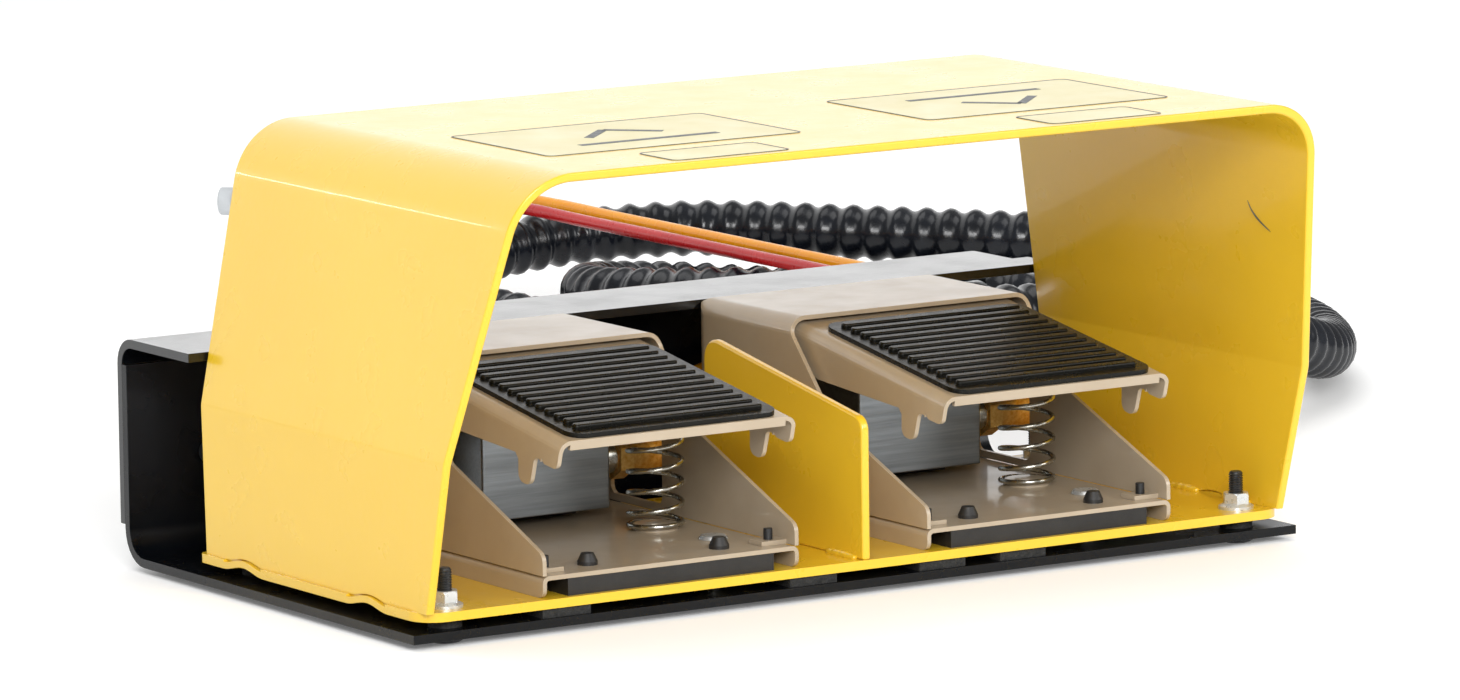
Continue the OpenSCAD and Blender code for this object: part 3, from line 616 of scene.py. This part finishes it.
def make_hood():
    """The hood as a bent sheet with rounded edges and an arch at each wave."""
    edge = HOOD_EDGE
    turn = np.linspace(0, math.pi / 2, 5)
    steps = [w + k for w in WAVES for k in np.arange(-14, 15, 2)] + HOOD_ROWS
    spread = np.array(sorted(steps)) / HOOD_D
    rings = []
    for p, n in bent_path(HOOD_PATH, HOOD_RADII):
        ring = []

        def put(front, share, depth, shift):
            q = p - n * depth
            z = q[1]
            y0 = FRONT_Y - HOOD_OVERHANG * z / HOOD_H
            y1 = FRONT_Y + HOOD_D - HOOD_LEAN * max(0, z - HOOD_CREASE) / (HOOD_H - HOOD_CREASE)
            y = y0 + shift if front else y1 - shift
            if share is not None:
                y = y0 + edge + (y1 - y0 - 2 * edge) * share
            at_foot = p[1] < 0.01
            arch = ARCH_RISE * wave(y) if at_foot else 0
            ring.append((q[0], y, FLOOR_TOP + z + arch))

        for a in turn:
            put(True, None, edge - edge * math.sin(a), edge - edge * math.cos(a))
        for s in spread:
            put(True, s, 0, 0)
        for a in turn[::-1]:
            put(False, None, edge - edge * math.sin(a), edge - edge * math.cos(a))
        for a in turn:
            put(False, None, HOOD_T - edge + edge * math.sin(a), edge - edge * math.cos(a))
        for s in spread[::-1]:
            put(True, s, HOOD_T, 0)
        for a in turn[::-1]:
            put(True, None, HOOD_T - edge + edge * math.sin(a), edge - edge * math.cos(a))
        rings.append(ring)
    obj = link("guard_hood_skin", grid_mesh("guard_hood_skin", mm(rings)))
    finish_piece(obj, "yellow_coat", angle=50)
    weigh_normals(obj)
    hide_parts("guard_hood")


def weld_bead(name, start, end, radius, steps=26):
    """A lumpy run of weld under the paint."""
    line = np.linspace(np.array(start, float), np.array(end, float), steps)
    line += RNG.normal(0, radius * 0.03, line.shape)
    ends = np.sin(np.linspace(0.12, math.pi - 0.12, steps)) ** 0.35
    lumps = 1 + 0.06 * np.sin(np.linspace(0, steps * 0.9, steps)) + RNG.normal(0, 0.03, steps)
    obj = link(name, sweep(name, mm(line), radius * MM * ends * lumps, 10))
    finish_piece(obj, "yellow_coat", angle=SWEPT_ANGLE)
    mod = obj.modifiers.new("round", "SUBSURF")
    mod.levels = mod.render_levels = 1


# the raised part of the rim, in millimetres from the middle
RIM_CUTS = (161.5, 164, 166)
RIM_REACH = 4


def cut_across(work, place, normal):
    """Cuts all faces of a bmesh along a plane."""
    geom = work.verts[:] + work.edges[:] + work.faces[:]
    bmesh.ops.bisect_plane(work, geom=geom, dist=1e-6, plane_co=place, plane_no=normal)


def make_floor():
    """The floor with its rim raised in the waves."""
    obj = dress("guard_floor", width=1.15, segments=4)
    work = bmesh.new()
    work.from_mesh(obj.data)
    for w in WAVES:
        for k in np.arange(-WAVE_HALF, WAVE_HALF + 1, 2):
            cut_across(work, (0, (FRONT_Y + w + k) * MM, 0), (0, 1, 0))
    for s, _ in SIDES:
        for x in RIM_CUTS:
            cut_across(work, (s * x * MM, 0, 0), (1, 0, 0))
    for v in work.verts:
        reach = min(1.0, max(0.0, (abs(v.co.x) / MM - RIM_CUTS[0]) / RIM_REACH))
        v.co.z += WAVE_RISE * wave(v.co.y / MM) * reach * MM
    work.to_mesh(obj.data)
    work.free()


make_hood()
make_floor()
dress("centre_divider", width=0.8, segments=3)

# name, distance from the middle, starts behind the front edge, length and radius
WELDS = (
    ("weld_{}_inner_{}", 162.6, (14, 44, 88), 16, 1.7),
    ("weld_divider_{}_{}", 2.1, (4, 46), 17, 1.6),
)
WELD_Z = FLOOR_TOP + 0.4
for s, tag in SIDES:
    for name, x, starts, run, radius in WELDS:
        for k, y in enumerate(starts):
            weld_bead(name.format(tag, k), (s * x, FRONT_Y + y, WELD_Z),
                      (s * x, FRONT_Y + y + run, WELD_Z), radius)


# Labels on the hood, with plain marks of no maker


def thin_mesh(name, outlines, z0, z1):
    """Thin solids on flat outlines, between two heights."""
    work = bmesh.new()
    for outline in outlines:
        work.faces.new([work.verts.new((x * MM, y * MM, z0 * MM)) for x, y in outline])
    bmesh.ops.remove_doubles(work, verts=work.verts, dist=1e-6)
    raised = bmesh.ops.extrude_face_region(work, geom=work.faces[:], use_keep_orig=True)["geom"]
    tops = [v for v in raised if isinstance(v, bmesh.types.BMVert)]
    bmesh.ops.translate(work, verts=tops, vec=(0, 0, (z1 - z0) * MM))
    bmesh.ops.recalc_face_normals(work, faces=work.faces)
    mesh = bpy.data.meshes.new(name)
    work.to_mesh(mesh)
    work.free()
    return mesh


def soft_rect(x0, y0, x1, y1, r):
    """A rectangle's outline with round corners."""
    corners = (
        (x1 - r, y1 - r, 0), (x0 + r, y1 - r, 90), (x0 + r, y0 + r, 180), (x1 - r, y0 + r, 270),
    )
    out = []
    for cx, cy, a0 in corners:
        for k in range(6):
            a = math.radians(a0 + 18 * k)
            out.append((cx + r * math.cos(a), cy + r * math.sin(a)))
    return out


def frame_strips(outer, inner):
    """Four-sided strips between two outlines."""
    n = len(outer)
    return [[outer[k], outer[(k + 1) % n], inner[(k + 1) % n], inner[k]] for k in range(n)]


def stroke(a, b, w):
    """The outline of a straight stroke of a width."""
    a, b = np.array(a, float), np.array(b, float)
    d = b - a
    n = np.array([-d[1], d[0]]) / np.linalg.norm(d) * w / 2
    return [tuple(a - n), tuple(b - n), tuple(b + n), tuple(a + n)]


# heights of film and ink about the hood's top face
HOOD_TOP = FLOOR_TOP + HOOD_H
FILM_Z = (HOOD_TOP - 0.1, HOOD_TOP + 0.12)
INK_Z = (HOOD_TOP + 0.05, HOOD_TOP + 0.2)
LABEL_ROUND = 3
BORDER = 0.7
BORDER_ROUND = 2.4


def make_label(name, x0, y0, x1, y1, marks):
    """A film with a border and marks of ink on it."""
    rim = soft_rect(x0, y0, x1, y1, LABEL_ROUND)
    film = link(name + "_film", thin_mesh(name + "_film", [rim], *FILM_Z))
    finish_piece(film, "label_film")
    inner = soft_rect(x0 + BORDER, y0 + BORDER, x1 - BORDER, y1 - BORDER, BORDER_ROUND)
    lines = frame_strips(rim, inner)
    ink = link(name + "_ink", thin_mesh(name + "_ink", lines + marks, *INK_Z))
    finish_piece(ink, "label_ink")


LABEL_X = 72
LABEL_Y = FRONT_Y + 29
BIG_HALF = (48, 31)
SMALL_HALF = 22
SMALL_Y = (FRONT_Y - 35, FRONT_Y - 12)
BAR_HALF = 26
CHEVRON = 14
STROKE_W = 3.2
for s, tag in SIDES:
    cx, cy = s * LABEL_X, LABEL_Y
    rise = -s * CHEVRON
    marks = [
        stroke((cx - BAR_HALF, cy - rise), (cx + BAR_HALF, cy - rise), STROKE_W),
        stroke((cx - CHEVRON, cy), (cx, cy + rise), STROKE_W),
        stroke((cx + CHEVRON, cy), (cx, cy + rise), STROKE_W),
    ]
    make_label(f"label_{tag}_big", cx - BIG_HALF[0], cy - BIG_HALF[1],
               cx + BIG_HALF[0], cy + BIG_HALF[1], marks)
    make_label(f"label_{tag}_small", cx - SMALL_HALF, SMALL_Y[0], cx + SMALL_HALF, SMALL_Y[1], [])


# An old scratch on the hood's right inner wall

SCRATCH = [
    (155.6, -71.4, 115.5), (156.1, -72.5, 112.9), (156.4, -74.8, 110.5), (156.8, -77.7, 108.4),
    (157.1, -80.7, 106.7), (157.2, -82.2, 105.9),
]
SCRATCH_R = 0.28
# how far it stands out of the wall, in metres
SCRATCH_OUT = 0.0002
scratch_path = mm(catmull(SCRATCH, 6)) - np.array([SCRATCH_OUT, 0, 0])
scratch_radii = SCRATCH_R * MM * np.sin(np.linspace(0.25, math.pi - 0.15, len(scratch_path)))
scratch = link("wall_scratch", sweep("wall_scratch", scratch_path, scratch_radii, 6))
finish_piece(scratch, "label_ink")


# Base

dress("base_plate", width=0.5)
dress("rear_bracket", "black_gloss", width=0.5)
paint("floor_pads")
dress("bracket_screws", width=0.4)
dress("flange_nuts", width=0.25)
dress("conduit_clip", width=0.3)
dress("clip_screw", width=0.4)

BOLTS = [(x, y) for x in (-154, 154) for y in (FRONT_Y + 10, FRONT_Y + 128)]
STUD_TOP = FLOOR_TOP + 12.6
STUD_R = 2.5
STUD_CHAMFER = 0.7
THREAD_PITCH = 0.8
THREAD_DEPTH = 0.42


def thread_rings(x, y, z0, z1, sides=20, per=6):
    """A threaded stud's surface as rings; the last ones close its chamfer."""
    steps = int((z1 - z0) / THREAD_PITCH * per)
    rings = []
    for i in range(steps + 1):
        z = z0 + (z1 - z0) * i / steps
        ring = []
        for k in range(sides):
            phase = (z / THREAD_PITCH - k / sides) % 1.0
            cut = THREAD_DEPTH * (1 - abs(2 * phase - 1))
            rr = min(STUD_R - cut, STUD_R - STUD_CHAMFER * max(0, 1 - (z1 - z)))
            a = 2 * math.pi * k / sides
            ring.append((x + rr * math.cos(a), y + rr * math.sin(a), z))
        rings.append(ring)
    return rings


def join_meshes(name, meshes):
    """One mesh in place of several."""
    work = bmesh.new()
    for mesh in meshes:
        work.from_mesh(mesh)
        bpy.data.meshes.remove(mesh)
    mesh = bpy.data.meshes.new(name)
    work.to_mesh(mesh)
    work.free()
    return mesh


def lathe(name, centre, profile, sides=32):
    """A round solid about a vertical axis from (radius, height) points."""
    x, y = centre
    turn = turns(sides)
    rings = [[(x + r * math.cos(a), y + r * math.sin(a), z) for a in turn] for r, z in profile]
    return grid_mesh(name, mm(rings))


FOOT_H = 2.2
FOOT_PROFILE = [
    (2.0, 0), (4.0, 0.05), (4.9, 0.35), (5.6, 0.8), (5.85, 1.3), (5.9, 1.75), (5.9, 2.05),
    (5.7, FOOT_H), (STUD_R, FOOT_H),
]
bolt_parts = []
for bx, by in BOLTS:
    bolt_parts.append(lathe("foot", (bx, by), FOOT_PROFILE))
    bolt_parts.append(grid_mesh("stud", mm(thread_rings(bx, by, FOOT_H, STUD_TOP))))
bolts = link("foot_bolts_skin", join_meshes("foot_bolts_skin", bolt_parts))
finish_piece(bolts, "black_steel", angle=55)
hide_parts("foot_bolts")


# Foot valves

SPRING_R = 8.9
SPRING_WIRE = 1.7
SPRING_TURNS = 8.5
SPRING_LOW = 8.15
SPRING_HIGH = 56.2
SPRING_POS = (28, 54)


def spring_path(ox, oy):
    """A coil with one closed turn at each end, in metres."""
    count = int(SPRING_TURNS * 30)
    rise = SPRING_HIGH - SPRING_LOW - 2 * SPRING_WIRE
    out = []
    for i in range(count + 1):
        a = SPRING_TURNS * i / count
        if a < 1:
            z = SPRING_WIRE * a
        elif a > SPRING_TURNS - 1:
            z = SPRING_WIRE + rise + SPRING_WIRE * (a - SPRING_TURNS + 1)
        else:
            z = SPRING_WIRE + rise * (a - 1) / (SPRING_TURNS - 2)
        t = 2 * math.pi * a
        out.append((ox + SPRING_R * math.cos(t), oy + SPRING_R * math.sin(t),
                    FLOOR_TOP + SPRING_LOW + z))
    return mm(out)


def make_spring(tag, x0):
    """The return spring, squeezed by its pedal."""
    ox, oy = x0 + SPRING_POS[0], VALVE_Y + SPRING_POS[1]
    name = f"{tag}_spring_skin"
    spring = link(name, sweep(name, spring_path(ox, oy), SPRING_WIRE / 2 * MM, 10))
    finish_piece(spring, "spring_wire", angle=SWEPT_ANGLE)
    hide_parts(f"{tag}_spring")
    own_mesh(spring)


RIB_ROUND = 0.7
# least angle, in radians, of the edges that are rounded, and slack in their height
RIM_ANGLE = 0.7
RIM_SLACK = 1e-5


def make_pad(node):
    """The pad with its ribs' tops well rounded."""
    obj = dress(node, "tread_rubber", width=0.3)
    work = bmesh.new()
    work.from_mesh(obj.data)
    up = -max(work.faces, key=lambda f: f.calc_area()).normal
    top = max(v.co.dot(up) for v in work.verts)
    rims = [e for e in work.edges if e.calc_face_angle(0) > RIM_ANGLE
            and all(top - v.co.dot(up) < RIM_SLACK for v in e.verts)]
    bmesh.ops.bevel(work, geom=rims, offset=RIB_ROUND * MM, offset_type="OFFSET", segments=5,
                    profile=0.5, affect="EDGES", clamp_overlap=False)
    work.to_mesh(obj.data)
    work.free()
    shade(obj.data, SHARP_ANGLE)


# the pedal's own frame: where it starts in the valve (depth, height), its slope and its front end
PEDAL_HOOK = (81.0, 64.5)
PEDAL_TILT = math.radians(9)
PEDAL_TOE = -87.5
# the flanges lie past FLANGE_X from the pedal's middle and below FLANGE_BEND
FLANGE_X = 38.0
FLANGE_BEND = -4.2
# how much deeper the flange is than its solid, by place along the pedal
FLANGE_PLACES = [PEDAL_TOE, PEDAL_TOE + 10.2, PEDAL_TOE + 10.6, -14, -3, 11.8]
FLANGE_DEEPER = [1.2, 1.4, 4.4, 4.5, 2.5, 0]


def make_pedal(tag, x0):
    """The pedal with the lower edges of its flanges let down."""
    obj = dress(f"{tag}_pedal", width=0.4)
    ct, st = math.cos(PEDAL_TILT), math.sin(PEDAL_TILT)
    for v in obj.data.vertices:
        dy = v.co.y / MM - VALVE_Y - PEDAL_HOOK[0]
        dz = v.co.z / MM - FLOOR_TOP - PEDAL_HOOK[1]
        along, height = dy * ct + dz * st, dz * ct - dy * st
        if abs(v.co.x / MM - x0) > FLANGE_X and height < FLANGE_BEND:
            down = float(np.interp(along, FLANGE_PLACES, FLANGE_DEEPER)) * MM
            v.co.y += down * st
            v.co.z -= down * ct
    obj.data.update()


# distance from the silencer's left end, and radius
COLLAR = ((6.65, 4.9), (6.9, 5.35), (15.0, 5.35), (15.35, 4.9))
COLLAR_SIDES = 32


def make_collar(tag):
    """A plated collar round the silencer's neck."""
    spots = np.array([v.co for v in NODES[f"{tag}_silencer"].data.vertices]) / MM
    x0 = spots[:, 0].min()
    _, y0, z0 = (spots.min(0) + spots.max(0)) / 2
    rings = [[(x0 + x, y0 + r * math.cos(a), z0 + r * math.sin(a)) for a in turns(COLLAR_SIDES)]
             for x, r in COLLAR]
    name = f"{tag}_collar_skin"
    finish_piece(link(name, grid_mesh(name, mm(rings))), "spring_wire")


# what lies behind HOUSING_REAR is moved further back than in the solid
HOUSING_REAR = VALVE_Y + 115
HOUSING_LONGER = 10.0


def make_housing(tag):
    """The housing, longer at its rear."""
    obj = dress(f"{tag}_housing", width=0.45)
    for v in obj.data.vertices:
        if v.co.y / MM > HOUSING_REAR:
            v.co.y += HOUSING_LONGER * MM
    obj.data.update()


# pieces of a valve that only have their edges rounded, by a width in millimetres
PLAIN_PIECES = (
    ("mat", 0.5), ("gasket", 0.3), ("valve_block", 0.5), ("silencer", 0.35),
    ("outlet_fitting", 0.35), ("tray_screws", 0.3), ("housing_screws", 0.2), ("hinge_pins", 0.3),
)


def make_valve(tag, x0):
    """All pieces of one foot valve."""
    make_collar(tag)
    dress(f"{tag}_tray", width=0.35)
    make_housing(tag)
    make_pedal(tag, x0)
    make_pad(f"{tag}_pedal_pad")
    for piece, width in PLAIN_PIECES:
        dress(f"{tag}_{piece}", width=width)
    paint(f"{tag}_plunger")
    make_spring(tag, x0)


for s, tag in SIDES:
    make_valve(tag, s * VALVE_X)


# Tubes held in the rear channel

LEFT_CHANNEL = [
    (-73.5, 62, 37.3), (-73.5, 72, 37.5), (-69, 84, 37), (-58, 92, 36), (-40, 95.5, 35.5),
    (-10, 96, 37), (20, 96, 42), (50, 96, 49), (80, 96, 55.5), (97, 96, 57), (109.8, 96, 57),
]
RIGHT_CHANNEL = [
    (73.5, 62, 37.3), (73.5, 72, 38), (77, 81, 43), (84, 87, 50), (95, 88.5, 56),
    (102, 88.5, 57), (109.8, 88.5, 57),
]
CHANNEL_STEP = 0.004
CHANNEL_SIDES = 14
for node, route, mat in (("left_channel_tube", LEFT_CHANNEL, "orange_tube"),
                         ("right_channel_tube", RIGHT_CHANNEL, "red_tube")):
    make_tube(node + "_skin", node, route, mat, CHANNEL_STEP, CHANNEL_SIDES)
